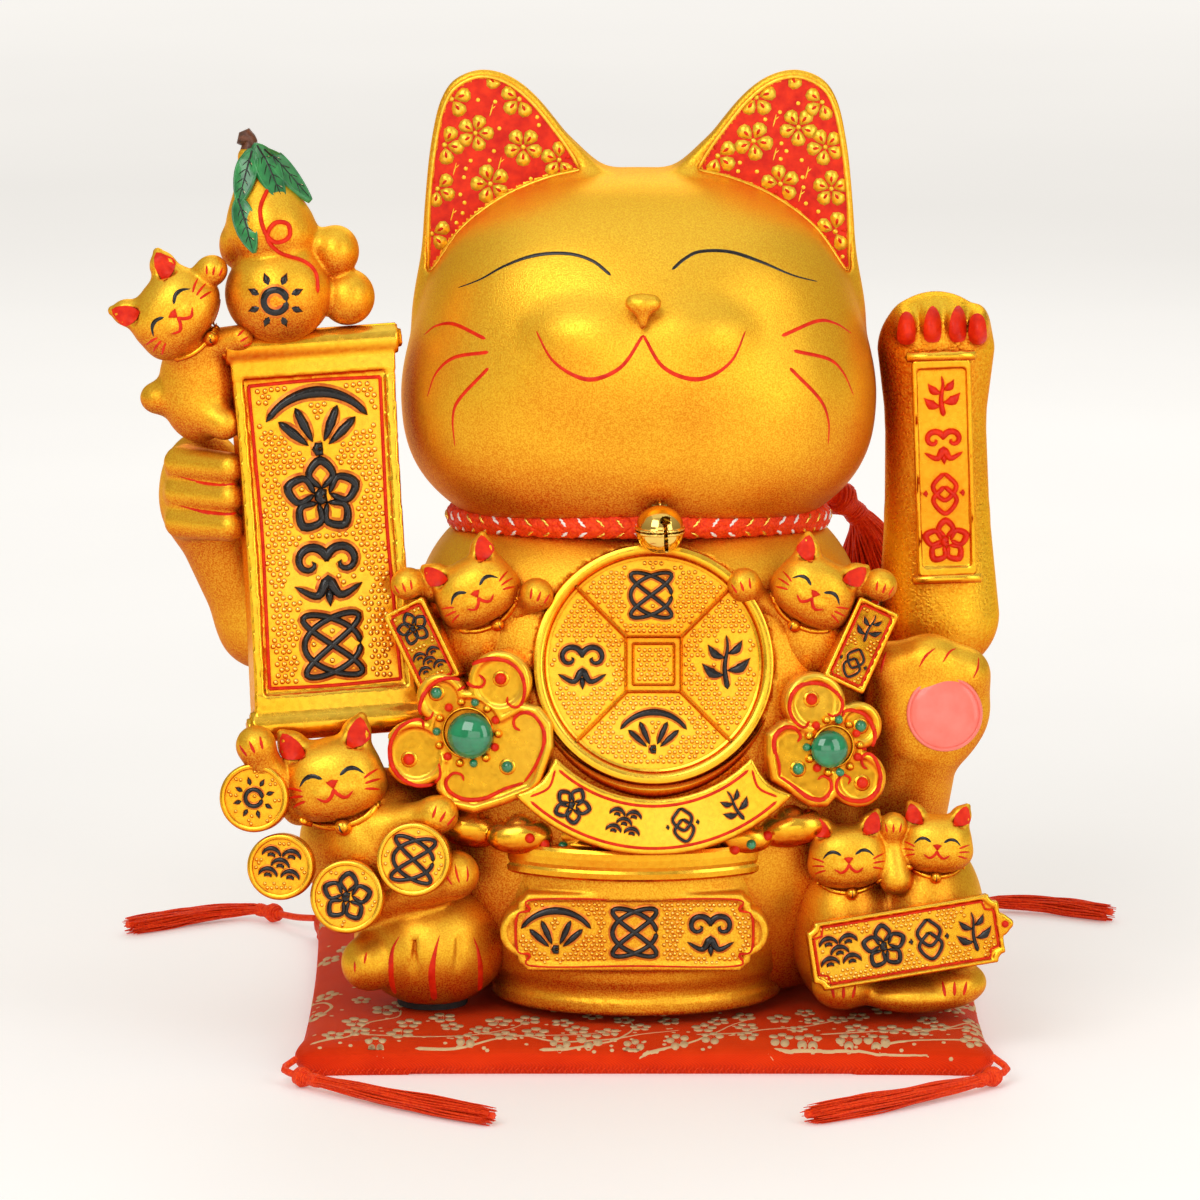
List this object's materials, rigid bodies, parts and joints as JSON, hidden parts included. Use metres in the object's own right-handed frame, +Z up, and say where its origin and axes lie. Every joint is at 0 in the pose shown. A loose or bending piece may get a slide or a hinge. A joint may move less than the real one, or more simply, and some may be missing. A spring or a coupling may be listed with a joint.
{
  "type": "beckoning cat figurine",
  "caption": "Gold ceramic beckoning cat on a brocade cushion, with a swinging plastic arm, a collar bell and relief kittens, coins, a treasure bowl and a scroll tablet.",
  "frame": {"origin": "the middle of the cushion's flat underside, where it lies on the table", "axes": "+Z up, the cat faces -Y, and +X is the side of the swinging arm"},
  "size_m": [0.4467, 0.3997, 0.4082],
  "materials": {
    "gold_ceramic": "grainy satin gold with orange-red shading in the recesses",
    "gold_enamel": "bright polished gold relief",
    "green_glaze": "glossy green dome",
    "pink_glaze": "glossy pink pad",
    "gold_plastic": "electroplated gold with a leathery grain",
    "cover_plastic": "moulded gold-coloured plastic",
    "black_plastic": "moulded",
    "brass": "polished",
    "steel": "zinc plated",
    "copper": "enamelled winding wire",
    "rubber": "matte",
    "red_cord": "braided silk cord",
    "brocade": "red satin brocade with pale blossom",
    "cell_sleeve": "printed sleeve over a steel can"
  },
  "bodies": {
    "cushion": {"cushion": "brocade", "tassel_front_left": "red_cord", "tassel_front_right": "red_cord", "tassel_rear_left": "red_cord", "tassel_rear_right": "red_cord"},
    "figure": {"rubber_foot_front_left": "rubber", "rubber_foot_front_right": "rubber", "rubber_foot_rear_left": "rubber", "rubber_foot_rear_right": "rubber", "torso_shell": "gold_ceramic", "head_shell": "gold_ceramic", "great_coin": "gold_ceramic", "treasure_bowl": "gold_ceramic", "pair_plaque": "gold_ceramic", "small_scroll_left": "gold_ceramic", "small_scroll_right": "gold_ceramic", "fortune_coin_1": "gold_ceramic", "fortune_coin_2": "gold_ceramic", "fortune_coin_3": "gold_ceramic", "fortune_coin_4": "gold_ceramic", "kitten_upper_left": "gold_ceramic", "kitten_upper_right": "gold_ceramic", "kitten_lower_left": "gold_ceramic", "kitten_climbing": "gold_ceramic", "kitten_pair": "gold_ceramic", "right_foot": "gold_ceramic", "left_foot": "gold_ceramic", "left_arm": "gold_ceramic", "tail": "gold_ceramic", "gourds": "gold_ceramic", "scroll_tablet": "gold_ceramic", "ruyi_left": "gold_enamel", "ruyi_right": "gold_enamel", "banner": "gold_enamel", "stone_left": "green_glaze", "stone_right": "green_glaze", "pink_pad": "pink_glaze", "rear_cover": "cover_plastic", "drive_frame": "black_plastic", "base_plug": "black_plastic", "battery_box": "black_plastic", "dc_socket": "black_plastic", "bell_staple": "brass", "shaft_bush": "brass", "drive_coil": "copper", "battery_cell_1": "cell_sleeve", "battery_cell_2": "cell_sleeve", "neck_cord": "red_cord", "collar_tassel": "red_cord"},
    "arm": {"arm_front_shell": "gold_plastic", "arm_back_shell": "gold_plastic", "arm_plate": "gold_plastic", "arm_shaft": "steel", "pendulum_weight": "steel"},
    "bell": {"bell_upper": "brass", "bell_lower": "brass"},
    "clapper": {"bell_clapper": "steel"},
    "battery_door": {"battery_door": "cover_plastic"},
    "power_switch": {"power_switch": "black_plastic"}
  },
  "joints": [
    {"name": "figure_lift", "type": "slide", "parent": "cushion", "child": "figure", "axis": [0, 0, 1], "range_m": [0, 0.06]},
    {"name": "arm_swing", "type": "hinge", "parent": "figure", "child": "arm", "pos_m": [0.091, 0.004, 0.172], "axis": [1, 0, 0], "range_deg": [-20, 20]},
    {"name": "bell_swing", "type": "hinge", "parent": "figure", "child": "bell", "pos_m": [0.0066, -0.07485, 0.2333], "axis": [-1, 0, 0], "range_deg": [0, 35]},
    {"name": "clapper_rattle", "type": "slide", "parent": "bell", "child": "clapper", "axis": [1, 0, 0], "range_m": [-0.0025, 0.0025]},
    {"name": "battery_door", "type": "slide", "parent": "figure", "child": "battery_door", "axis": [0, 1, 0], "range_m": [0, 0.03]},
    {"name": "power_switch", "type": "slide", "parent": "figure", "child": "power_switch", "axis": [0, 0, 1], "range_m": [0, 0.0054]}
  ]
}
